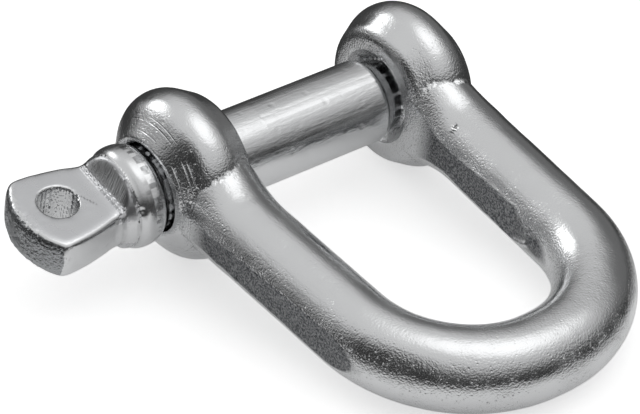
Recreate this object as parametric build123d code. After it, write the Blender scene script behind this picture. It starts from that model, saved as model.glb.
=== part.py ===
from build123d import *
import os
from math import asin, copysign, cos, degrees, radians, sin, sqrt, tan

# Screw pin D-shackle, nominal 10 mm size, in millimetres. It has two pieces: a bow that is forged from
# one round bar, with an eye at each end, and a screw pin that is forged in one piece with its collar
# and its flattened, pierced head.
# The origin is on the pin's axis, midway between the ears. +X runs from the pin's head to its tip, the
# bow reaches out towards -Y, and +Z is up as the shackle lies on a flat surface.

# Bow: the bent bar
BAR_D = 10.1             # bar diameter round the bend
LEG_ROOT_D = 10.3        # leg diameter where it leaves the ear
LEG_LEAN = 2.4           # degrees that each leg leans in towards the bend
LEG_INSET = 5.25         # face of the jaw to the leg's centreline, at the pin axis
BOW_REACH = 47.1         # pin axis to the bar's centreline at the crown
CROWN_FLAT = 1.0         # straight length of centreline between the bend's two corners

# Bow: the ears
JAW_WIDTH = 24.1         # clear width between the ears
EAR_WIDTH = 10.3         # ear thickness along the pin
EAR_D = 21.2             # ear diameter over its crest
EAR_CREST = 4.9          # face of the jaw to the crest of the ear
CREST_ROUND = 4.2        # radius of the crest, seen along the bow
JAW_DRAFT = 30           # degrees that the flank slopes towards the jaw
OUTER_DRAFT = 50         # degrees that the flank slopes on the outside
JAW_ROUND = 2.0          # rounding between the jaw's flank and face

# Bow: the flare of each leg where it runs up to its ear, on top, below and towards the jaw
FLARE_START = 5.5        # distance below the pin axis, inside the ear
FLARE_START_H = 15.6     # height there, square to the plane of the bow
FLARE_ROOT = 8.1         # distance below the pin axis where it comes out of the ear, in a sharp crease
FLARE_ROOT_H = 13.0      # height there
FLARE_WAIST = 10.5       # half way along
FLARE_WAIST_H = 11.2     # height there
FLARE_END = 14.0         # distance below the pin axis where it has run out into the leg
FLARE_W = 10.4           # its width, in the plane of the bow
FLARE_INSET = 0.6        # its root lies this far in from the leg's centreline

# Bow: flats trimmed along the legs when the flash was sheared off
OUTER_FLAT_LEAN = 3.4    # degrees that the outer flat leans in
OUTER_FLAT_START = 1.5   # distance below the pin axis where it leaves the ear's face
INNER_FLAT_LEAN = 1.3    # degrees that the inner flat leans in
INNER_FLAT_START = 8.0   # distance below the pin axis where it leaves the ear's face
INNER_FLAT_FADE = 4.0    # length over which the inner flat runs out before the bend

# Screw pin: shank and thread
SHANK_D = 10.6           # plain shank
THREAD_D = 10.0          # major diameter of the thread, M10
THREAD_RELIEF_D = 8.4    # undercut between shank and thread
RELIEF_WIDTH = 1.2       # width of that undercut
SHANK_END_GAP = 1.1      # the shank stops this far short of the threaded ear
SHANK_END_ROUND = 1.0    # rounding of the shank's end
TIP_PROUD = 0.6          # the tip stands this far out of the threaded ear
TIP_CHAMFER = 1.0        # lead chamfer of the thread

# Screw pin: collar and neck
COLLAR_GAP = 0.6         # daylight between collar and ear
COLLAR_D = 12.7          # collar over its rim
COLLAR_SEAT_D = 11.6     # small end of the collar's back cone
COLLAR_WIDTH = 3.6       # collar along the pin, with its back cone
COLLAR_CONE = 1.2        # length of the back cone
COLLAR_ROUND = 0.9       # rounding of the collar's front edge
NECK_D = 11.8            # neck between the collar and the head
LAP_DEPTH = 0.3          # depth of the lap line between collar and neck
LAP_WIDTH = 0.35         # width of that line
NECK_LENGTH = 0.05        # full round length of the neck, up to the pressed shoulders

# Screw pin: flattened head with its eye
HEAD_T = 5.4             # thickness over the two pressed flats
SHOULDER_RUN = 1.65      # length over which the shoulders drop from the neck to the flats
SHOULDER_ROUND = 0.8     # rounding at the foot of the shoulders
NECK_FOOT_D = 10.3       # neck at the foot of the shoulders
HEAD_LENGTH = 11.3       # from the foot of the shoulders to the end of the head
HEAD_WIDTH = 13.1        # width over the parting line of its sides, at the widest
HEAD_ROOT_WIDTH = 10.0   # the same width at the foot of the shoulders
HEAD_WIDEST = 8.4        # foot of the shoulders to the widest place
HEAD_OVERLAP = 1.0       # length of the flattened head that is buried in the neck
HEAD_DRAFT = 9           # degrees that the sides draw in, up and down from the parting line
HEAD_EDGE_ROUND = 0.5    # rounding of the long edges
HEAD_CORNER_R = 1.0      # plan radius of the two corners at the end
HEAD_SHEAR = 0.25        # length that is sheared off the forged end
HEAD_END_R = 9.4         # plan radius of the sheared end
HEAD_OFFSET = 0.3        # the head was pressed this far off the pin's axis, away from the bow
HEAD_ROLL = 5.3          # degrees that the head has turned past the plane of the bow
EYE_D = 4.8              # eye for seizing wire
EYE_SETBACK = 5.7        # end of the head to the centre of the eye
EYE_OFFSET = 0.8        # centre of the eye beside the pin's axis
EYE_CHAMFER = 0.25        # broken edge of the eye

# Clearances and broken edges of the two holes in the ears
SHANK_CLEARANCE = 0.3    # radial room for the shank in the plain ear
THREAD_CLEARANCE = 0.05  # radial room for the thread in the threaded ear
PLAIN_LIP = 0.5          # chamfer at both ends of the plain hole
THREAD_SINK = 1.9        # countersink of the threaded hole on the jaw side
THREAD_LIP = 0.6         # chamfer of the threaded hole on the outside

# Worked out from the above
jaw_face = JAW_WIDTH / 2
outer_face = jaw_face + EAR_WIDTH
crest_x = jaw_face + EAR_CREST
ear_r = EAR_D / 2
leg_x = jaw_face + LEG_INSET
lean = radians(LEG_LEAN)
crown_x = CROWN_FLAT / 2
bend_r = (leg_x - BOW_REACH * tan(lean) - crown_x) / (1 / cos(lean) - tan(lean))
bend_y = bend_r - BOW_REACH
rest_tilt = degrees(asin((ear_r - BAR_D / 2) / BOW_REACH))


def leg_point(drop):
    """Place on the right leg's centreline, this far below the pin axis."""
    return leg_x - drop * tan(lean), -drop


def leg():
    """Right leg: a slightly tapered bar from the middle of its ear to the start of the bend."""
    end_drop = -bend_y + bend_r * sin(lean)
    start, end = leg_point(0), leg_point(end_drop)
    along = (end[0] - start[0], end[1] - start[1], 0)
    root = Plane(origin=(start[0], start[1], 0), z_dir=along) * Circle(LEG_ROOT_D / 2)
    tail = Plane(origin=(end[0], end[1], 0), z_dir=along) * Circle(BAR_D / 2)
    return loft([root, tail])


def flare():
    """Oval flare round the right leg, from inside the ear to where the leg is round."""
    stations = [
        (FLARE_START, FLARE_W, FLARE_START_H, FLARE_INSET),
        (FLARE_ROOT, FLARE_W, FLARE_ROOT_H, FLARE_INSET),
        (FLARE_WAIST, FLARE_W, FLARE_WAIST_H, FLARE_INSET / 2),
        (FLARE_END, LEG_ROOT_D, LEG_ROOT_D, 0),
    ]
    along = (-sin(lean), -cos(lean), 0)
    sections = []
    for drop, width, height, inset in stations:
        x, y = leg_point(drop)
        across = Plane(origin=(x - inset, y, 0), x_dir=(0, 0, 1), z_dir=along)
        sections.append(across * Ellipse(height / 2, width / 2))
    return loft(sections)


def bend():
    """Right corner of the bow and its half of the crown, down to the middle plane."""
    section = Pos(crown_x, -BOW_REACH) * Rot(0, 90, 0) * Circle(BAR_D / 2)
    corner = revolve(section, Axis((crown_x, bend_y, 0), (0, 0, 1)), 90 - LEG_LEAN)
    crown = Pos(crown_x / 2, -BOW_REACH) * Rot(0, 90, 0) * Cylinder(BAR_D / 2, crown_x)
    return corner + crown


def flank(draft, face_x):
    """Top and foot of the ear's sloping flank between its crest and the face at face_x."""
    side = copysign(1, face_x - crest_x)
    slope = radians(draft)
    top = (crest_x + side * CREST_ROUND * sin(slope), ear_r - CREST_ROUND * (1 - cos(slope)))
    return top, (face_x, top[1] - abs(face_x - top[0]) * tan(slope))


def ear():
    """Right ear: a boss round the pin's axis with a rounded crest and drafted flanks."""
    jaw_top, jaw_foot = flank(JAW_DRAFT, jaw_face)
    outer_top, outer_foot = flank(OUTER_DRAFT, outer_face)
    profile = make_face([
        RadiusArc(jaw_top, outer_top, CREST_ROUND),
        Polyline(outer_top, outer_foot, (outer_face, 0), (jaw_face, 0), jaw_foot, jaw_top),
    ])
    jaw_corner = profile.vertices().sort_by_distance((*jaw_foot, 0))[0]
    return revolve(fillet(jaw_corner, JAW_ROUND), Axis.X)


def outer_trim():
    """What is sheared off the outside of the right leg."""
    start = (outer_face, -OUTER_FLAT_START)
    run = BOW_REACH - OUTER_FLAT_START
    end = (outer_face - run * tan(radians(OUTER_FLAT_LEAN)), -BOW_REACH)
    far_x = 2 * outer_face
    side = Polyline((outer_face, ear_r), start, end, (far_x, -BOW_REACH), (far_x, ear_r), close=True)
    return extrude(make_face(side), EAR_D, both=True)


def inner_trim():
    """What is sheared off the inside of the right leg, with the jaw's face."""
    fade_y = -bend_y - INNER_FLAT_FADE
    fade_x = jaw_face - (fade_y - INNER_FLAT_START) * tan(radians(INNER_FLAT_LEAN))
    end_x = leg_point(-bend_y)[0] - LEG_ROOT_D / 2
    side = Polyline(
        (0, ear_r), (jaw_face, ear_r), (jaw_face, -INNER_FLAT_START),
        (fade_x, -fade_y), (end_x, bend_y), (0, bend_y), close=True,
    )
    return extrude(make_face(side), EAR_D, both=True)


def hole(x0, x1, radius, chamfer0, chamfer1):
    """Cutter for a hole along the pin's axis from x0 to x1, with a 45 degree chamfer at each end."""
    profile = Polyline(
        (x0, 0), (x0, radius + chamfer0), (x0 + chamfer0, radius),
        (x1 - chamfer1, radius), (x1, radius + chamfer1), (x1, 0), close=True,
    )
    return revolve(make_face(profile), Axis.X)


def bow():
    """The one-piece bow, lying in the XY plane."""
    half = ear() + leg() + flare() + bend() - outer_trim() - inner_trim()
    body = half + mirror(half, about=Plane.YZ)
    plain = hole(-outer_face, -jaw_face, SHANK_D / 2 + SHANK_CLEARANCE, PLAIN_LIP, PLAIN_LIP)
    threaded = hole(jaw_face, outer_face, THREAD_D / 2 + THREAD_CLEARANCE, THREAD_SINK, THREAD_LIP)
    return body - plain - threaded


# Stations along the pin, from the tip back to the head
tip_x = outer_face + TIP_PROUD
shank_end_x = jaw_face - SHANK_END_GAP
collar_x = -outer_face - COLLAR_GAP
neck_x = collar_x - COLLAR_WIDTH
shoulder_top_x = neck_x - LAP_WIDTH - NECK_LENGTH
shoulder_foot_x = shoulder_top_x - SHOULDER_RUN
neck_end_x = shoulder_foot_x - SHOULDER_ROUND
head_end_x = shoulder_foot_x - HEAD_LENGTH


def pin_turning():
    """Everything round on the pin: tip, thread, undercut, shank, collar and neck."""
    thread_r, relief_r, shank_r = THREAD_D / 2, THREAD_RELIEF_D / 2, SHANK_D / 2
    collar_r, neck_r = COLLAR_D / 2, NECK_D / 2
    relief_end_x = shank_end_x + SHANK_END_ROUND + RELIEF_WIDTH
    step = thread_r - relief_r
    round_x = shank_end_x - SHANK_END_ROUND
    rim_front_x = neck_x + COLLAR_ROUND
    outline = [
        Polyline(
            (tip_x, 0), (tip_x, thread_r - TIP_CHAMFER), (tip_x - TIP_CHAMFER, thread_r),
            (relief_end_x + step, thread_r), (relief_end_x, relief_r), (shank_end_x, relief_r),
            (shank_end_x, shank_r - SHANK_END_ROUND),
        ),
        RadiusArc((shank_end_x, shank_r - SHANK_END_ROUND), (round_x, shank_r), -SHANK_END_ROUND),
        Polyline(
            (round_x, shank_r), (collar_x, shank_r), (collar_x, COLLAR_SEAT_D / 2),
            (collar_x - COLLAR_CONE, collar_r), (rim_front_x, collar_r),
        ),
        RadiusArc((rim_front_x, collar_r), (neck_x, collar_r - COLLAR_ROUND), -COLLAR_ROUND),
        Polyline(
            (neck_x, collar_r - COLLAR_ROUND), (neck_x, neck_r - LAP_DEPTH), (neck_x - LAP_WIDTH, neck_r),
            (shoulder_top_x, neck_r), (shoulder_foot_x, NECK_FOOT_D / 2),
            (neck_end_x, NECK_FOOT_D / 2), (neck_end_x, 0), (tip_x, 0),
        ),
    ]
    return revolve(make_face(outline), Axis.X)


def shoulder_trim():
    """Wedge of metal that the press moved off the top of the neck; its mirror image is below."""
    neck_r, flat_z = NECK_D / 2, HEAD_T / 2
    slope = SHOULDER_RUN / (neck_r - flat_z)
    profile = make_face(Polyline(
        (shoulder_foot_x, flat_z), (shoulder_top_x + slope, neck_r + 1),
        (head_end_x, neck_r + 1), (head_end_x, flat_z), close=True,
    ))
    foot = profile.vertices().sort_by_distance((shoulder_foot_x, flat_z, 0))[0]
    return extrude(Plane.XZ * fillet(foot, SHOULDER_ROUND), NECK_D, both=True)


def head_plate():
    """The pressed flat: drafted barrel sides and rounded edges, then the end sheared to an arc."""
    half_width = HEAD_WIDTH / 2
    widest_x = shoulder_foot_x - HEAD_WIDEST
    bulge = (HEAD_WIDTH - HEAD_ROOT_WIDTH) / 2
    side_r = (HEAD_WIDEST**2 + bulge**2) / (2 * bulge)
    buried_x = shoulder_foot_x + HEAD_OVERLAP
    beyond_x = 2 * widest_x - buried_x
    buried_half = half_width - side_r + sqrt(side_r**2 - (buried_x - widest_x) ** 2)
    barrel = make_face([
        RadiusArc((buried_x, buried_half), (beyond_x, buried_half), -side_r),
        Line((beyond_x, buried_half), (beyond_x, -buried_half)),
        RadiusArc((beyond_x, -buried_half), (buried_x, -buried_half), -side_r),
        Line((buried_x, -buried_half), (buried_x, buried_half)),
    ])
    forged_end_x = head_end_x - HEAD_SHEAR
    arc_x = forged_end_x + HEAD_END_R
    keep = Pos((arc_x + buried_x) / 2) * Rectangle(buried_x - arc_x, HEAD_WIDTH)
    outline = barrel & (Pos(arc_x) * Circle(HEAD_END_R) + keep)
    corners = outline.vertices().sort_by(Axis.X)[:2]
    outline = fillet(corners, HEAD_CORNER_R)
    half = extrude(outline, HEAD_T / 2, taper=HEAD_DRAFT)
    rims = half.faces().sort_by(Axis.Z)[-1].edges().filter_by(Axis.Y, reverse=True)
    half = fillet(rims, HEAD_EDGE_ROUND)
    blank = half + mirror(half, about=Plane.XY)
    sheared_off = Pos(head_end_x + HEAD_END_R) * (Cylinder(HEAD_END_R + 3, HEAD_T) - Cylinder(HEAD_END_R, HEAD_T))
    beyond_end = Pos(head_end_x) * Box(HEAD_END_R, HEAD_WIDTH, HEAD_T)
    return blank - (sheared_off & beyond_end)


def screw_pin():
    """The one-piece screw pin on the X axis, with its head turned by HEAD_ROLL."""
    wedge = shoulder_trim()
    turned = pin_turning() - wedge - mirror(wedge, about=Plane.XY)
    eye_x, eye_r = head_end_x + EYE_SETBACK, EYE_D / 2
    eye = Pos(eye_x, EYE_OFFSET) * Cylinder(eye_r, 2 * HEAD_T)
    pin = turned + Pos(0, HEAD_OFFSET) * head_plate() - eye
    rims = pin.edges().filter_by(GeomType.CIRCLE).filter_by(lambda e: abs(e.radius - eye_r) < 0.001)
    return Rot(HEAD_ROLL, 0, 0) * chamfer(rims, EYE_CHAMFER)


if __name__ == "__main__":
    os.makedirs("parts", exist_ok=True)
    at_rest = Rot(rest_tilt, 0, 0)
    export_step(at_rest * bow(), "parts/bow.step")
    export_step(at_rest * screw_pin(), "parts/screw_pin.step")
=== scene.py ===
"""Looks of a forged screw pin D-shackle: its two zinc plated pieces, a pale floor and soft studio light."""

import logging
from dataclasses import dataclass
from enum import Enum
from math import cos, pi, radians, sin

import bmesh
import bpy
import numpy as np
from mathutils import Matrix, Vector, kdtree

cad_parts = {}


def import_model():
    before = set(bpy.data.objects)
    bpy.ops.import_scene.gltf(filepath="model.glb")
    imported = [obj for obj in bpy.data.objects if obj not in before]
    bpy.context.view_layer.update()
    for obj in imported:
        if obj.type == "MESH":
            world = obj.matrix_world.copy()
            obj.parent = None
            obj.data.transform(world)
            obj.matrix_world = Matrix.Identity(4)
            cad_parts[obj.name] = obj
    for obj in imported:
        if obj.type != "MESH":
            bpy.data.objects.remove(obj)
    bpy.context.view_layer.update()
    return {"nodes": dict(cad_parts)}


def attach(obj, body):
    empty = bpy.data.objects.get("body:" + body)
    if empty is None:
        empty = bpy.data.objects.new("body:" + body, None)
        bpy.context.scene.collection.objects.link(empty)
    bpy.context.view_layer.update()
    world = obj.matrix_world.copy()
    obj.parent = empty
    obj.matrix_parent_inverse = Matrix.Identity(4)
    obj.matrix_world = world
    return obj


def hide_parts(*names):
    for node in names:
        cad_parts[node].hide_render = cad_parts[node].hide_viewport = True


log = logging.getLogger("shackle")
MM = 0.001
REST_TILT = 6.767  # degrees that the bow lies nose down, on its two ears and its end

# the M10 x 1.5 thread, in millimetres
PITCH = 1.5
TURN_DEPTH = 0.8
RUN_OUT = 0.4  # length over which the turns fade at each end
CREST_RISE = 0.06  # furthest that a crest comes out of the plain wall


class Piece(Enum):
    """The two physical pieces, by the name of their CAD node."""

    BOW = "bow"
    SCREW_PIN = "screw_pin"


def linear(hex_colour: str) -> tuple[float, float, float, float]:
    """Turns an sRGB hex colour into the linear colour that a shader works in.

    Args:
        hex_colour: six hex digits, such as "c4c6c8".

    Returns:
        Linear red, green, blue and an alpha of 1.
    """
    channels = [int(hex_colour[i : i + 2], 16) / 255 for i in (0, 2, 4)]
    curve = [c / 12.92 if c <= 0.04045 else ((c + 0.055) / 1.055) ** 2.4 for c in channels]
    return curve[0], curve[1], curve[2], 1.0


def add_node(
    tree: bpy.types.NodeTree, kind: str, settings: dict | None = None, links: dict | None = None
) -> bpy.types.Node:
    """Adds a node, sets its properties and sockets, and links its inputs.

    Args:
        tree: the node tree that gets the node.
        kind: the node's type, without the "ShaderNode" in front.
        settings: property names, or socket names or numbers, with their values.
        links: input socket names or numbers, with the output socket that feeds each.

    Returns:
        The new node.
    """
    node = tree.nodes.new("ShaderNode" + kind)
    for name, value in (settings or {}).items():
        if isinstance(name, str) and hasattr(node, name):
            setattr(node, name, value)
        else:
            node.inputs[name].default_value = value
    for name, source in (links or {}).items():
        tree.links.new(source, node.inputs[name])
    return node


def set_ramp(node: bpy.types.Node, stops: tuple[tuple[float, float], ...]) -> None:
    """Gives a Color Ramp node these grey stops.

    Args:
        node: the Color Ramp node.
        stops: pairs of place and grey level, in rising order of place.
    """
    ramp = node.color_ramp
    while len(ramp.elements) < len(stops):
        ramp.elements.new(0.5)
    for element, (place, grey) in zip(ramp.elements, stops):
        element.position = place
        element.color = (grey, grey, grey, 1)


def aim(azimuth: float, elevation: float) -> Vector:
    """Unit vector towards an azimuth, counted from +X towards +Y, and an elevation, both in degrees."""
    around, above = radians(azimuth), radians(elevation)
    return Vector((cos(above) * cos(around), cos(above) * sin(around), sin(above)))


@dataclass(frozen=True)
class ZincPlate:
    """Bright zinc plate on steel: a mirror for the softboxes, broken up by the grain of the steel below it.

    A pair of numbers holds the value at the start and at the end of a change, as each comment says.
    """

    name: str = "bright_zinc_on_forging"
    colour: str = "d8d9da"
    roughness: float = 0.17
    roughness_swing: tuple[float, float] = (-0.03, 0.06)  # added in the smoother and in the rougher patches
    grain: float = 0.24 * MM  # blasting grit leaves dimples of about this width
    grain_depth: float = 0.12 * MM
    stretch: tuple[float, float, float] = (1.0, 1.0, 1.0)  # under 1 draws the grain out along that axis
    tops_and_flanks: tuple[float, float] = (0.85, 0.45)  # height of the normal on a top and on a flank
    crest_share: float = 0.3  # share of the grain that tumbling left on the tops
    pit_spacing: float = 0.6 * MM  # scale fell out of the surface in small pits this far apart
    pit_depth: float = 0.06 * MM
    pit_wall: tuple[float, float] = (0.06, 0.24)  # start and end of its wall, in spacings from its middle
    patch: float = 5 * MM  # size of the smoother and rougher patches
    patch_noise: tuple[float, float] = (0.38, 0.62)  # noise where the change of a patch starts and ends
    patch_loss: float = 0.6  # share of the grain that the smoother patches have lost
    painted_shade_attribute: str = "sheared"  # 1 where shade is painted on the sheared flanks of the legs: a darker colour that stands in for the dark reflection they show
    painted_shade_colour: str = "3f4144"
    shade_speck_noise: tuple[float, float] = (0.35, 0.6)  # grit from the palest to the darkest speck of the painted shade
    palest_speck: float = 0.7
    ring_radii: tuple[float, ...] = ()  # rings that the dressed die left round the pin's axis, smallest first
    ring_half: float = 0.09 * MM
    ring_depth: float = 0.08 * MM
    ring_margin: float = 0.4 * MM
    ring_x: tuple[float, float] = (17.6 * MM, 18.4 * MM)  # they set in here, on the outer flank of each ear
    ring_noise: tuple[float, float] = (0.4, 0.55)  # patch noise from none to all of a ring

    def rings(
        self,
        tree: bpy.types.NodeTree,
        where: bpy.types.NodeSocket,
        broken: bpy.types.NodeSocket,
        skin: bpy.types.Node,
    ) -> bpy.types.Node:
        """Adds the rings that the dressed die left round the pin's axis, on the outer flank of each ear.

        Args:
            tree: the material's node tree.
            where: the place on the object.
            broken: noise that breaks the rings up.
            skin: the Bump node that the rings are laid over.

        Returns:
            The Bump node with the rings.
        """
        first, last = self.ring_radii[0] - self.ring_margin, self.ring_radii[-1] + self.ring_margin
        flat = add_node(tree, "VectorMath", {"operation": "MULTIPLY", 1: (0, 1, 1)}, {0: where}).outputs[0]
        radius = add_node(tree, "VectorMath", {"operation": "LENGTH"}, {0: flat}).outputs["Value"]
        place = add_node(tree, "MapRange", {"From Min": first, "From Max": last}, {"Value": radius})
        ramp = add_node(tree, "ValToRGB", links={"Fac": place.outputs["Result"]})
        half = self.ring_half / (last - first)
        stops = []
        for ring in self.ring_radii:
            middle = (ring - first) / (last - first)
            stops += [(middle - half, 1.0), (middle, 0.0), (middle + half, 1.0)]
        set_ramp(ramp, tuple(stops))
        across = add_node(tree, "SeparateXYZ", links={0: where}).outputs["X"]
        out = add_node(tree, "Math", {"operation": "ABSOLUTE"}, {0: across}).outputs[0]
        start, end = self.ring_x
        outside = add_node(
            tree, "MapRange", {"From Min": start, "From Max": end}, {"Value": out}
        ).outputs["Result"]
        gone, whole = self.ring_noise
        kept = add_node(
            tree, "MapRange", {"From Min": gone, "From Max": whole}, {"Value": broken}
        ).outputs["Result"]
        share = add_node(tree, "Math", {"operation": "MULTIPLY"}, {0: outside, 1: kept}).outputs[0]
        return add_node(
            tree,
            "Bump",
            {"Distance": self.ring_depth},
            {"Height": ramp.outputs["Color"], "Strength": share, "Normal": skin.outputs["Normal"]},
        )

    def grain_share(
        self, tree: bpy.types.NodeTree, normal: bpy.types.NodeSocket, coarse: bpy.types.NodeSocket
    ) -> bpy.types.NodeSocket:
        """Works out how much of the grain is left, most of it on the flanks and in the rougher patches.

        Args:
            tree: the material's node tree.
            normal: the surface's normal.
            coarse: 0 in the smoother patches and 1 in the rougher ones.

        Returns:
            The socket with the share, from 0 to 1.
        """
        facing = add_node(tree, "SeparateXYZ", links={0: normal}).outputs["Z"]
        upright = add_node(tree, "Math", {"operation": "ABSOLUTE"}, {0: facing}).outputs[0]
        top, side = self.tops_and_flanks
        flank = add_node(
            tree,
            "MapRange",
            {
                "interpolation_type": "SMOOTHSTEP",
                "From Min": top,
                "From Max": side,
                "To Min": self.crest_share,
                "To Max": 1.0,
            },
            {"Value": upright},
        ).outputs["Result"]
        kept = add_node(
            tree, "MapRange", {"To Min": 1 - self.patch_loss}, {"Value": coarse}
        ).outputs["Result"]
        return add_node(tree, "Math", {"operation": "MULTIPLY"}, {0: flank, 1: kept}).outputs[0]

    def pitted(
        self,
        tree: bpy.types.NodeTree,
        where: bpy.types.NodeSocket,
        grit: bpy.types.NodeSocket,
        share: bpy.types.NodeSocket,
    ) -> bpy.types.Node:
        """Adds the dimples of the grit and the pits of the scale.

        Args:
            tree: the material's node tree.
            where: the place on the object.
            grit: noise as fine as the grit.
            share: how much of both is left.

        Returns:
            The Bump node with dimples and pits.
        """
        dimples = add_node(tree, "Bump", {"Distance": self.grain_depth}, {"Height": grit, "Strength": share})
        pits = add_node(tree, "TexVoronoi", {"Scale": 1 / self.pit_spacing}, {"Vector": where})
        pit_shape = add_node(tree, "ValToRGB", links={"Fac": pits.outputs["Distance"]})
        bottom, rim = self.pit_wall
        set_ramp(pit_shape, ((bottom, 0.0), (rim, 1.0)))
        return add_node(
            tree,
            "Bump",
            {"Distance": self.pit_depth},
            {"Height": pit_shape.outputs["Color"], "Strength": share, "Normal": dimples.outputs["Normal"]},
        )

    def tint_with_painted_shade(self, tree: bpy.types.NodeTree, grit: bpy.types.NodeSocket) -> bpy.types.NodeSocket:
        """Mixes the plate's colour, with painted shade, darker and specked, on the sheared flanks of the
        legs.

        Args:
            tree: the material's node tree.
            grit: noise as fine as the grit.

        Returns:
            The socket with the colour.
        """
        # the sheared attribute weighs the painted shade on the flanks of the legs
        sheared = add_node(tree, "Attribute", {"attribute_name": self.painted_shade_attribute}).outputs["Fac"]
        pale, dark = self.shade_speck_noise
        torn = add_node(
            tree,
            "MapRange",
            {"From Min": pale, "From Max": dark, "To Min": self.palest_speck},
            {"Value": grit},
        ).outputs["Result"]
        # painted shade: the darker colour stands in for the dark reflection of the flanks
        painted_shade = add_node(tree, "Math", {"operation": "MULTIPLY"}, {0: sheared, 1: torn}).outputs[0]
        colours = {"Color1": linear(self.colour), "Color2": linear(self.painted_shade_colour)}
        return add_node(tree, "MixRGB", colours, {"Fac": painted_shade}).outputs["Color"]

    def material(self) -> bpy.types.Material:
        """Builds the node material.

        Returns:
            The new material.
        """
        made = bpy.data.materials.new(self.name)
        made.use_nodes = True
        tree = made.node_tree
        tree.nodes.clear()
        place = add_node(tree, "TexCoord")
        where = place.outputs["Object"]
        patch = add_node(
            tree, "TexNoise", {"Scale": 1 / self.patch, "Detail": 4.0}, {"Vector": where}
        ).outputs["Fac"]
        start, end = self.patch_noise
        coarse = add_node(
            tree, "MapRange", {"From Min": start, "From Max": end}, {"Value": patch}
        ).outputs["Result"]
        drawn = add_node(tree, "Mapping", {"Scale": self.stretch}, {"Vector": where}).outputs["Vector"]
        grit = add_node(
            tree, "TexNoise", {"Scale": 1 / self.grain, "Detail": 2.5}, {"Vector": drawn}
        ).outputs["Fac"]
        skin = self.pitted(tree, where, grit, self.grain_share(tree, place.outputs["Normal"], coarse))
        if self.ring_radii:
            skin = self.rings(tree, where, patch, skin)
        low, high = self.roughness_swing
        rough = add_node(
            tree,
            "MapRange",
            {"To Min": self.roughness + low, "To Max": self.roughness + high},
            {"Value": coarse},
        ).outputs["Result"]
        shader = add_node(
            tree,
            "BsdfPrincipled",
            {"Metallic": 1.0},
            {"Base Color": self.tint_with_painted_shade(tree, grit), "Roughness": rough, "Normal": skin.outputs["Normal"]},
        )
        add_node(tree, "OutputMaterial", links={"Surface": shader.outputs["BSDF"]})
        return made


class Finish(Enum):
    """The finishes, each for the surface that has it."""

    # the blasted skin of the forging: dark bands sparkle and light bands are peppered, and painted shade
    # darkens the sheared flanks of the legs
    FORGED = ZincPlate(ring_radii=(7.3 * MM, 8.3 * MM, 8.75 * MM))
    # the drawn and plated shank: fine grain pulled out along the pin, so its highlight is a calm streak
    DRAWN = ZincPlate(
        "zinc_on_drawn_shank", roughness=0.2, grain=0.35 * MM, grain_depth=0.04 * MM, pit_spacing=2.2 * MM,
        pit_depth=0.03 * MM, crest_share=1.0, stretch=(0.25, 1.0, 1.0),
    )
    # the turned collar: smooth and bright, with soft edges to what it mirrors
    TURNED = ZincPlate(
        "zinc_on_turned_collar", roughness=0.2, grain=0.25 * MM, grain_depth=0.01 * MM, pit_spacing=2.4 * MM,
        pit_depth=0.01 * MM, patch=2.5 * MM, crest_share=0.8,
    )
    # the flats that the press left: even satin grey with a trace of grain
    PRESSED = ZincPlate(
        "zinc_on_pressed_flat", colour="cbccce", roughness=0.26, grain=0.22 * MM, grain_depth=0.012 * MM,
        pit_spacing=2.6 * MM, pit_depth=0.012 * MM, patch_loss=0.3, crest_share=1.0,
    )
    # the shoulders, where the press dragged the metal down: short dark strokes towards the flat
    DRAGGED = ZincPlate(
        "zinc_on_dragged_shoulder", colour="cccdce", roughness=0.24, grain=0.24 * MM, grain_depth=0.11 * MM,
        pit_spacing=3 * MM, pit_depth=0.01 * MM, stretch=(0.14, 1.0, 0.14), patch_loss=0.24, crest_share=1.0,
    )
    # the sheared end: torn dark steel with a thin plate over it
    SHEARED = ZincPlate(
        "zinc_on_sheared_end", colour="a2a4a6", roughness=0.26, grain=0.35 * MM, grain_depth=0.3 * MM,
        pit_spacing=0.9 * MM, pit_depth=0.1 * MM, patch_loss=0.36, crest_share=1.0,
    )


@dataclass(frozen=True)
class Patch:
    """A round patch of the studio round the object: a softbox, or a grey or black card."""

    azimuth: float
    elevation: float
    inner: float  # degrees from its centre to where it starts to fade
    outer: float
    level: float  # radiance at its centre

    def mix(
        self, tree: bpy.types.NodeTree, view: bpy.types.NodeSocket, below: bpy.types.NodeSocket
    ) -> bpy.types.NodeSocket:
        """Lays the patch over the level found so far.

        Args:
            tree: the world's node tree.
            view: unit vector of the direction that is looked in.
            below: the level without this patch.

        Returns:
            The socket with the new level.
        """
        centre = aim(self.azimuth, self.elevation)
        near = add_node(
            tree, "VectorMath", {"operation": "DOT_PRODUCT", 1: centre}, {0: view}
        ).outputs["Value"]
        mask = add_node(
            tree,
            "MapRange",
            {
                "interpolation_type": "SMOOTHSTEP",
                "From Min": cos(radians(self.outer)),
                "From Max": cos(radians(self.inner)),
            },
            {"Value": near},
        ).outputs["Result"]
        return add_node(tree, "Mix", {"B": self.level}, {"Factor": mask, "A": below}).outputs["Result"]


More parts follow.
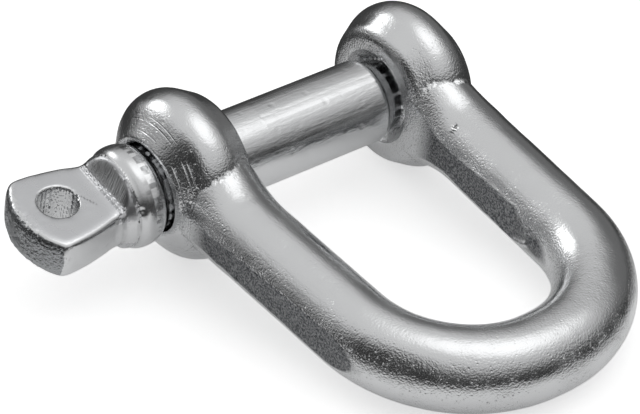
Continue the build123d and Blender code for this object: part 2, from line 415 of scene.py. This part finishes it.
@dataclass
class Studio:
    """Camera, soft light and the pale floor."""

    azimuth: float = -41.36  # camera, in the plane of the bow
    elevation: float = 39.99
    roll: float = 6.72
    distance: float = 380 * MM
    target: tuple[float, float, float] = (-6.42 * MM, -13.44 * MM, 0.0)
    focal_px: float = 3220.68
    frame_px: float = 640
    sensor: float = 36  # width in millimetres, as the lens length is counted
    floor_z: float = -10.6 * MM
    floor_size: float = 4.0
    # the metal sees the white paper within these discs, x, y and radius, and beyond them the paper in painted
    # shade, dark grey in reflections only
    paper: tuple[tuple[float, float, float], ...] = ((-22 * MM, -3 * MM, 44 * MM), (0.0, -32 * MM, 54 * MM))
    paper_fade: float = 0.5  # share of a disc's radius from which it fades
    paper_colour: str = "f2f2f2"
    mirrored_paper_shade: str = "4c4c4c"  # painted shade: the paper beyond the discs, as only the metal sees it
    paper_glow: float = 0.55  # radiance that is added for the camera, on top of the light that falls on it
    mirrored_glow: float = 0.35  # share of it that the metal sees
    # grey level over the height above the horizon, from straight down to straight up
    sky: tuple[tuple[float, float], ...] = (
        (0.0, 0.05), (0.55, 0.05), (0.62, 0.13), (0.69, 0.33), (0.75, 0.53), (0.84, 0.7), (1.0, 0.8),
    )
    patches: tuple[Patch, ...] = (
        Patch(20, 5, 15, 50, 0.17),  # grey wall behind the jaw
        Patch(122, 2, 12, 38, 0.38),  # pale wall at the far left
        Patch(-163, 22, 8, 40, 0.04),  # black card at the near left
        Patch(-28, 72, 3, 30, 1.5),  # large softbox overhead
        Patch(107, 29, 5, 19, 2.3),  # softbox at the far left
    )

    def add_camera(self) -> None:
        """Puts the camera at the photograph's viewing angle."""
        around, above, roll = radians(self.azimuth), radians(self.elevation), radians(self.roll)
        back = Vector((sin(around) * cos(above), -cos(around) * cos(above), sin(above)))
        level = Vector((cos(around), sin(around), 0))
        upright = back.cross(level)
        right = cos(roll) * level + sin(roll) * upright
        up = cos(roll) * upright - sin(roll) * level
        axes = Matrix((right, up, back)).transposed()
        place = Vector(self.target) + back * self.distance
        tilt = Matrix.Rotation(radians(REST_TILT), 4, "X")
        bpy.ops.object.camera_add()
        camera = bpy.context.object
        camera.name = "camera"
        camera.matrix_world = tilt @ Matrix.Translation(place) @ axes.to_4x4()
        camera.data.sensor_width = self.sensor
        camera.data.lens = self.focal_px * self.sensor / self.frame_px
        camera.data.clip_start = 0.01
        camera.data.clip_end = 20
        bpy.context.scene.camera = camera

    def on_paper(self, tree: bpy.types.NodeTree) -> bpy.types.NodeSocket:
        """Works out how much a place of the floor lies on the white paper, as the metal sees it.

        Args:
            tree: the floor's node tree.

        Returns:
            The socket with the share, from 0 to 1.
        """
        where = add_node(tree, "TexCoord").outputs["Object"]
        discs = []
        for x, y, radius in self.paper:
            away = add_node(
                tree, "VectorMath", {"operation": "DISTANCE", 1: (x, y, 0)}, {0: where}
            ).outputs["Value"]
            fade = {
                "interpolation_type": "SMOOTHSTEP",
                "From Min": radius,
                "From Max": radius * self.paper_fade,
            }
            discs.append(add_node(tree, "MapRange", fade, {"Value": away}).outputs["Result"])
        share = discs[0]
        for disc in discs[1:]:
            share = add_node(tree, "Math", {"operation": "MAXIMUM"}, {0: share, 1: disc}).outputs[0]
        return share

    def add_floor(self) -> None:
        """Adds the pale floor, which keeps the shadow, shows white to the camera, and shows the metal white
        within the paper discs and painted shade beyond them.
        """
        bpy.ops.mesh.primitive_plane_add(size=self.floor_size, location=(0, 0, self.floor_z))
        floor = bpy.context.object
        floor.name = "floor"
        made = bpy.data.materials.new("pale_floor")
        made.use_nodes = True
        tree = made.node_tree
        tree.nodes.clear()
        rays = add_node(tree, "LightPath").outputs
        mirrored = add_node(
            tree, "Math", {"operation": "MULTIPLY"}, {0: rays["Is Glossy Ray"], 1: self.on_paper(tree)}
        ).outputs[0]
        # off the discs the metal sees the paper painted dark grey: painted shade in the reflections
        dimmed = add_node(
            tree, "Math", {"operation": "SUBTRACT"}, {0: rays["Is Glossy Ray"], 1: mirrored}
        ).outputs[0]
        paper = add_node(tree, "BsdfDiffuse", {"Color": linear(self.paper_colour)}).outputs[0]
        dim = add_node(tree, "BsdfDiffuse", {"Color": linear(self.mirrored_paper_shade)}).outputs[0]
        sheet = add_node(tree, "MixShader", links={0: dimmed, 1: paper, 2: dim}).outputs[0]
        seen = add_node(
            tree,
            "Math",
            {"operation": "MAXIMUM"},
            {0: rays["Is Camera Ray"], 1: rays["Is Transmission Ray"]},
        ).outputs[0]
        white = add_node(
            tree, "Math", {"operation": "MULTIPLY_ADD", 1: self.mirrored_glow}, {0: mirrored, 2: seen}
        ).outputs[0]
        strength = add_node(
            tree, "Math", {"operation": "MULTIPLY", 1: self.paper_glow}, {0: white}
        ).outputs[0]
        glow = add_node(tree, "Emission", {"Color": linear("ffffff")}, {"Strength": strength}).outputs[0]
        both = add_node(tree, "AddShader", links={0: sheet, 1: glow}).outputs[0]
        add_node(tree, "OutputMaterial", links={"Surface": both})
        floor.data.materials.append(made)

    def add_world(self) -> None:
        """Lights the object from a dim studio with softboxes, and shows white behind the floor."""
        world = bpy.data.worlds.new("studio")
        bpy.context.scene.world = world
        world.use_nodes = True
        tree = world.node_tree
        tree.nodes.clear()
        view = add_node(tree, "TexCoord").outputs["Generated"]
        height = add_node(tree, "SeparateXYZ", links={0: view}).outputs["Z"]
        place = add_node(tree, "MapRange", {"From Min": -1.0}, {"Value": height})
        ramp = add_node(tree, "ValToRGB", links={"Fac": place.outputs["Result"]})
        set_ramp(ramp, self.sky)
        level = ramp.outputs["Color"]
        for patch in self.patches:
            level = patch.mix(tree, view, level)
        room = add_node(tree, "Background", links={"Color": level}).outputs[0]
        white = add_node(tree, "Background", {"Color": linear("ffffff")}).outputs[0]
        rays = add_node(tree, "LightPath").outputs
        mix = add_node(tree, "MixShader", links={0: rays["Is Camera Ray"], 1: room, 2: white}).outputs[0]
        add_node(tree, "OutputWorld", links={"Surface": mix})

    def build(self) -> None:
        """Sets up the whole studio."""
        bpy.context.scene.view_settings.view_transform = "Standard"
        self.add_camera()
        self.add_floor()
        self.add_world()


def in_bow_frame(coordinates: np.ndarray) -> np.ndarray:
    """Takes places in the frame of the part, in metres, to the plane of the bow, in millimetres."""
    turn = np.array(Matrix.Rotation(radians(-REST_TILT), 3, "X"))
    return coordinates @ turn.T / MM


def from_bow_frame(places: np.ndarray) -> np.ndarray:
    """Takes places in the plane of the bow, in millimetres, to the frame of the part, in metres."""
    turn = np.array(Matrix.Rotation(radians(REST_TILT), 3, "X"))
    return places @ turn.T * MM


def rise(values: np.ndarray, start: float, end: float) -> np.ndarray:
    """Rises in a straight line from 0 at the start to 1 at the end, also where the end is the lower value."""
    return np.clip((values - start) / (end - start), 0, 1)


def vectors_of(items: bpy.types.bpy_prop_collection, name: str) -> np.ndarray:
    """Reads a vector that every vertex or face has.

    Args:
        items: the mesh's vertices or polygons.
        name: the vector's name, such as "co" or "normal".

    Returns:
        One row of three numbers for each item.
    """
    flat = np.empty(len(items) * 3, np.float32)
    items.foreach_get(name, flat)
    return flat.reshape(-1, 3).astype(float)


def vertices_of(piece: bpy.types.Object) -> np.ndarray:
    """Places of the piece's vertices, in metres."""
    return vectors_of(piece.data.vertices, "co")


def take_copy(node: bpy.types.Object, name: str) -> bpy.types.Object:
    """Makes a merged copy of a CAD node's mesh, as a piece of its own.

    Args:
        node: the CAD node's object, which stays as it is.
        name: name for the piece.

    Returns:
        The new piece, selected and active.
    """
    bpy.ops.object.select_all(action="DESELECT")
    mesh = node.data.copy()
    piece = bpy.data.objects.new(name, mesh)
    bpy.context.scene.collection.objects.link(piece)
    piece.select_set(True)
    bpy.context.view_layer.objects.active = piece
    mesh.materials.clear()
    bpy.ops.object.mode_set(mode="EDIT")
    bpy.ops.mesh.select_all(action="SELECT")
    bpy.ops.mesh.remove_doubles(threshold=1e-6)
    bpy.ops.object.mode_set(mode="OBJECT")
    return piece


def apply_modifier(piece: bpy.types.Object, kind: str, **settings: object) -> None:
    """Adds a modifier, sets it and applies it.

    Args:
        piece: the active piece.
        kind: the modifier's type, in capitals.
        settings: its properties and their values.
    """
    modifier = piece.modifiers.new(kind.lower(), kind)
    for name, value in settings.items():
        setattr(modifier, name, value)
    bpy.ops.object.modifier_apply(modifier=modifier.name)


def smooth(piece: bpy.types.Object, steps: int, group: str = "") -> None:
    """Smooths the active piece, or only a vertex group of it, in this many steps."""
    apply_modifier(piece, "SMOOTH", factor=0.5, iterations=steps, vertex_group=group)


def remesh(piece: bpy.types.Object, voxel: float, steps: int) -> None:
    """Gives the active piece small even faces, and smooths off the stairs that they leave.

    Args:
        piece: the active piece.
        voxel: size of the faces, in metres.
        steps: steps of smoothing.
    """
    piece.data.remesh_voxel_size = voxel
    bpy.ops.object.voxel_remesh()
    smooth(piece, steps)


def weigh(piece: bpy.types.Object, name: str, weights: np.ndarray) -> None:
    """Stores one weight per vertex as a vertex group, in steps of a twentieth.

    Args:
        piece: the piece.
        name: name of the new group.
        weights: one number from 0 to 1 for each vertex.
    """
    most = 20
    group = piece.vertex_groups.new(name=name)
    steps = np.round(np.clip(weights, 0, 1) * most).astype(int)
    for step in range(1, most + 1):
        members = np.nonzero(steps == step)[0].tolist()
        if members:
            group.add(members, step / most, "REPLACE")


def edge_points(piece: bpy.types.Object, least: float, most: float) -> list[Vector]:
    """Points along the piece's edges whose angle lies in a range.

    Args:
        piece: the piece, before it is remeshed.
        least: smallest angle across such an edge, in degrees, below 0 for a concave edge.
        most: greatest angle.

    Returns:
        Points about a fifth of a millimetre apart, in metres.
    """
    mesh = bmesh.new()
    mesh.from_mesh(piece.data)
    points = []
    for edge in mesh.edges:
        if edge.is_manifold and radians(least) < edge.calc_face_angle_signed() < radians(most):
            start, end = edge.verts[0].co, edge.verts[1].co
            steps = max(1, round((end - start).length / (0.2 * MM)))
            points += [start.lerp(end, i / steps) for i in range(steps + 1)]
    mesh.free()
    return points


def nearness(places: np.ndarray, points: list[Vector], reach: float) -> np.ndarray:
    """How near each place is to the nearest of the points.

    Args:
        places: places in metres.
        points: the points, in metres.
        reach: distance at which the nearness has dropped to about a third.

    Returns:
        Numbers from 0, far, to 1, on a point.
    """
    tree = kdtree.KDTree(len(points))
    for index, point in enumerate(points):
        tree.insert(point, index)
    tree.balance()
    gaps = np.array([tree.find(place)[2] for place in places])
    return np.exp(-((gaps / reach) ** 2))


@dataclass(frozen=True)
class Relief:
    """Soft relief in a surface, such as forging waves, scale or a burr."""

    name: str
    lump: float  # width of its lumps
    height: float
    middle: float = 0.5  # noise that leaves the surface where it is
    group: str = ""  # vertex group that it stays within, if any

    def press(self, piece: bpy.types.Object) -> None:
        """Presses the relief into the active piece."""
        texture = bpy.data.textures.new(self.name, "CLOUDS")
        texture.noise_scale = self.lump
        texture.noise_basis = "IMPROVED_PERLIN"
        apply_modifier(
            piece,
            "DISPLACE",
            texture=texture,
            strength=self.height,
            mid_level=self.middle,
            vertex_group=self.group,
        )


@dataclass(frozen=True)
class Thread:
    """The turns of the M10 x 1.5 thread, in a round wall whose axis is the X axis. Sizes in millimetres."""

    start: float
    end: float
    wall: tuple[float, float]  # least and greatest radius of the plain wall that gets the turns
    crest: float  # radius that the turns are cut in from

    def cut(self, places: np.ndarray) -> np.ndarray:
        """Cuts the turns. Those of the hole and of the pin are in phase, so they mesh.

        Args:
            places: places in the plane of the bow, in millimetres.

        Returns:
            The places with the thread in the wall.
        """
        x, y, z = places.T
        radius = np.hypot(y, z)
        tooth = np.abs(((x / PITCH - np.arctan2(z, y) / (2 * pi)) % 1) * 2 - 1)
        full = rise(x, self.start, self.start + RUN_OUT) * rise(x, self.end, self.end - RUN_OUT)
        least, most = self.wall
        on_wall = (radius > least) & (radius < most) & (x > self.start) & (x < self.end)
        turned = np.minimum(self.crest, radius + CREST_RISE) - TURN_DEPTH * tooth * full
        scale = np.where(on_wall, turned, radius) / np.maximum(radius, 1e-6)
        return np.stack([x, y * scale, z * scale], 1)


def settle(piece: bpy.types.Object, places: np.ndarray, triangles: int) -> None:
    """Puts the vertices at their last places, thins the mesh where it has too many triangles, and shades it.

    Args:
        piece: the active piece.
        places: a place for each vertex, in the plane of the bow, in millimetres.
        triangles: most triangles that the piece may have.
    """
    piece.data.vertices.foreach_set("co", from_bow_frame(places).astype(np.float32).ravel())
    piece.data.update()
    now = sum(len(face.vertices) - 2 for face in piece.data.polygons)
    if now > triangles:
        apply_modifier(piece, "DECIMATE", ratio=triangles / now)
    bpy.ops.object.shade_smooth()


@dataclass
class Bow:
    """The forged bow: soft edges, forging waves, a rough crease at each ear and a tapped hole."""

    voxel: float = 0.2 * MM
    voxel_steps: int = 6  # steps of smoothing
    flare_end_steps: int = 40
    triangles: int = 198_000
    # edges by their angle in degrees: the folds at the ears, and the rims that trimming left
    crease_angles: tuple[float, float] = (-90, -12)
    trim_angles: tuple[float, float] = (13, 60)
    outer_face: float = 22 * MM
    ear_y: tuple[float, float] = (-12 * MM, -2 * MM)  # from the root of the legs to below the pin
    leg_x: tuple[float, float] = (13.2 * MM, 21.4 * MM)  # the top of a leg, which wasn't trimmed
    crease_reach: float = 0.38 * MM
    trim_reach: float = 0.26 * MM
    # the rest is in the plane of the bow, in millimetres
    flare_end_y: float = -14.2  # the flare of a leg runs out here
    flare_end_fade: tuple[float, float] = (2.6, 1.4)  # its softening starts and is full this far off
    flank_shade_normal: tuple[float, float] = (0.935, 0.98)  # from round to flat, as the share of the normal across
    flank_shade_start: tuple[float, float] = (-8.5, -11.5)  # the painted shade of the flanks sets in and is full
    flank_shade_end: tuple[float, float] = (-47.0, -36.0)  # and the same from the crown's end
    jaw_face: float = 12.05
    sink_r: float = 6.95  # countersink of the threaded hole at the jaw's face
    seen_sink_r: float = 6.1  # and how much of it is left where the plate has filled its rim
    hole_r: float = 5.05
    thread: Thread = Thread(13.1, 21.7, (4.7, 5.3), 5.06)
    reliefs: tuple[Relief, ...] = (
        Relief("forging_waves", 7 * MM, 0.1 * MM),
        Relief("hammer_scale", 1.6 * MM, 0.035 * MM),
        Relief("crease_scale", 0.35 * MM, 0.18 * MM, 0.75, "crease"),
        Relief("trim_burr", 2.5 * MM, 0.22 * MM, 0.1, "trim"),
    )

    def crease_points(self, piece: bpy.types.Object) -> list[Vector]:
        """Points along the folds between each ear and its leg, in metres."""
        start, end = self.ear_y
        points = edge_points(piece, *self.crease_angles)
        return [point for point in points if abs(point.x) < self.outer_face and start < point.y < end]

    def trim_points(self, piece: bpy.types.Object) -> list[Vector]:
        """Points along the rims of the trimmed flanks of the legs, in metres."""
        inner, outer = self.leg_x
        points = edge_points(piece, *self.trim_angles)
        return [point for point in points if point.y < self.ear_y[0] and not inner < abs(point.x) < outer]

    def shallow_sink(self, places: np.ndarray) -> np.ndarray:
        """Fills the outer part of the countersink, so that a flat ring is left round the threaded hole.

        Args:
            places: places in the plane of the bow, in millimetres.

        Returns:
            The places with the shallower countersink.
        """
        off_cone, off_rim = 0.35, 0.1  # how far the remesh may have moved a vertex of the cone
        x, y, z = places.T
        radius = np.hypot(y, z)
        cone_x = self.jaw_face + self.sink_r - radius
        within = (radius < self.sink_r + off_rim) & (radius > self.hole_r - off_rim)
        filled = self.jaw_face + np.maximum(self.seen_sink_r - radius, 0)
        return np.stack([np.where(within & (np.abs(x - cone_x) < off_cone), filled, x), y, z], 1)

    def mark_painted_flank_shade(self, piece: bpy.types.Object) -> None:
        """Stores how much painted shade each vertex gets, on the sheared flanks of the legs.

        Args:
            piece: the piece, in its last shape.
        """
        across = np.abs(vectors_of(piece.data.vertices, "normal")[:, 0])
        y = in_bow_frame(vertices_of(piece))[:, 1]
        sheared = rise(across, *self.flank_shade_normal) * rise(y, *self.flank_shade_start) * rise(y, *self.flank_shade_end)
        # the sheared attribute holds painted shade, which darkens the plate's colour on these flanks
        stored = piece.data.attributes.new("sheared", "FLOAT", "POINT")
        stored.data.foreach_set("value", sheared.astype(np.float32))

    def build(self, node: bpy.types.Object) -> bpy.types.Object:
        """Shapes the piece from a copy of the CAD bow.

        Args:
            node: the CAD bow's object.

        Returns:
            The finished piece.
        """
        piece = take_copy(node, "bow_forging")
        creases = self.crease_points(piece)
        trims = self.trim_points(piece)
        remesh(piece, self.voxel, self.voxel_steps)
        y = in_bow_frame(vertices_of(piece))[:, 1]
        weigh(piece, "flare_end", rise(np.abs(y - self.flare_end_y), *self.flare_end_fade))
        smooth(piece, self.flare_end_steps, "flare_end")
        weigh(piece, "crease", nearness(vertices_of(piece), creases, self.crease_reach))
        weigh(piece, "trim", nearness(vertices_of(piece), trims, self.trim_reach))
        for relief in self.reliefs:
            relief.press(piece)
        places = self.shallow_sink(in_bow_frame(vertices_of(piece)))
        settle(piece, self.thread.cut(places), self.triangles)
        self.mark_painted_flank_shade(piece)
        piece.data.materials.append(Finish.FORGED.value.material())
        return piece


@dataclass
class ScrewPin:
    """The screw pin: cut thread, lap line with its nick, dragged shoulders and a torn end."""

    voxel: float = 0.178 * MM
    voxel_steps: int = 4  # steps of smoothing
    lathe_steps: int = 70
    worn_steps: int = 90
    triangles: int = 198_000
    head_roll: float = 5.3  # degrees that the head has turned past the plane of the bow
    # the rest is in the plane of the bow, in millimetres, and pairs are where a finish starts and is full
    collar_end: float = -22.4
    lathe_start: tuple[float, float] = (-22.3, -22.6)
    lathe_end: tuple[float, float] = (-27.6, -27.0)
    forged_start: tuple[float, float] = (-22.8, -23.3)
    worn_start: tuple[float, float] = (-27.2, -28.0)
    torn_start: tuple[float, float] = (-38.3, -39.2)
    shoulder_x: tuple[float, float] = (-28.75, -26.9)
    shoulder_foot: float = 0.6  # length of the fold below the shoulders
    end_x: float = -37.5  # the sheared end lies beyond this
    # shares of a face's normal, upright to the head's flats or along the pin, that tell its surface
    pressed_upright: float = 0.97
    shoulder_upright: float = 0.3
    dragged_along: float = -0.8
    sheared_along: float = -0.62
    eye: tuple[float, float] = (-34.2, 0.8)
    eye_edge: tuple[float, float] = (2.7, 3.2)  # radii between which the wear of the head sets in
    eye_wall: float = 2.8
    nick: tuple[float, float, float] = (-26.6, -5.6, 2.4)  # a notch in the lap line
    nick_r: float = 0.35
    thread: Thread = Thread(13.2, 22.95, (4.3, 5.1), 4.98)
    reliefs: tuple[Relief, ...] = (
        Relief("pin_waves", 5 * MM, 0.07 * MM, 0.5, "forged"),
        Relief("torn_steel", 0.5 * MM, 0.3 * MM, 0.65, "torn_end"),
        Relief("nick_shape", 0.3 * MM, 0.5 * MM, 1.0, "nick"),
    )

    def off_eye(self, x: np.ndarray, y: np.ndarray) -> np.ndarray:
        """Distance from the axis of the eye, in millimetres."""
        return np.hypot(x - self.eye[0], y - self.eye[1])

    def paint(self, piece: bpy.types.Object) -> None:
        """Gives each face the finish of the surface that it lies on.

        Args:
            piece: the piece, in its last shape.
        """
        turned = np.array(Matrix.Rotation(radians(-REST_TILT - self.head_roll), 3, "X")).T
        x, y, _ = (vectors_of(piece.data.polygons, "center") @ turned / MM).T
        along, _, up = (vectors_of(piece.data.polygons, "normal") @ turned).T
        flat = np.abs(up)
        foot, top = self.shoulder_x
        shoulder = (x < top) & (flat > self.shoulder_upright)
        pressed = (x < foot) & (flat > self.pressed_upright)
        sheared = (x < self.end_x) & (along < self.sheared_along)
        areas = {
            Finish.TURNED: x <= self.collar_end,
            Finish.DRAWN: x > self.collar_end,
            Finish.PRESSED: pressed | ((x > foot - self.shoulder_foot) & shoulder),
            Finish.DRAGGED: (x > foot) & shoulder & (along < self.dragged_along),
            Finish.SHEARED: sheared & (self.off_eye(x, y) > self.eye_wall),
        }
        index = np.zeros(len(x), np.int32)
        for slot, (finish, faces) in enumerate(areas.items()):
            piece.data.materials.append(finish.value.material())
            index[faces] = slot
        piece.data.polygons.foreach_set("material_index", index)

    def build(self, node: bpy.types.Object) -> bpy.types.Object:
        """Shapes the piece from a copy of the CAD pin.

        Args:
            node: the CAD pin's object.

        Returns:
            The finished piece.
        """
        piece = take_copy(node, "screw_pin_forging")
        remesh(piece, self.voxel, self.voxel_steps)
        x, y, _ = in_bow_frame(vertices_of(piece)).T
        weigh(piece, "turned", rise(x, *self.lathe_start) * rise(x, *self.lathe_end))
        weigh(piece, "worn_edges", rise(x, *self.worn_start) * rise(self.off_eye(x, y), *self.eye_edge))
        smooth(piece, self.lathe_steps, "turned")
        smooth(piece, self.worn_steps, "worn_edges")
        places = in_bow_frame(vertices_of(piece))
        to_nick = np.linalg.norm(places - np.array(self.nick), axis=1)
        weigh(piece, "torn_end", rise(places[:, 0], *self.torn_start))
        weigh(piece, "nick", np.exp(-((to_nick / self.nick_r) ** 2)))
        weigh(piece, "forged", rise(places[:, 0], *self.forged_start))
        for relief in self.reliefs:
            relief.press(piece)
        settle(piece, self.thread.cut(in_bow_frame(vertices_of(piece))), self.triangles)
        self.paint(piece)
        return piece


def main() -> None:
    """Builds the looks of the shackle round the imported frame."""
    logging.basicConfig(level=logging.INFO, format="%(message)s")
    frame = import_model()
    Studio().build()
    for builder, node, body, slot in (
        (Bow(), Piece.BOW, "bow", "bow_steel"),
        (ScrewPin(), Piece.SCREW_PIN, "pin", "pin_steel"),
    ):
        piece = builder.build(frame["nodes"][node.value])
        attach(piece, body)
        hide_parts(node.value)
        log.info("%s: %d faces", piece.name, len(piece.data.polygons))


if __name__ == "__main__":
    main()
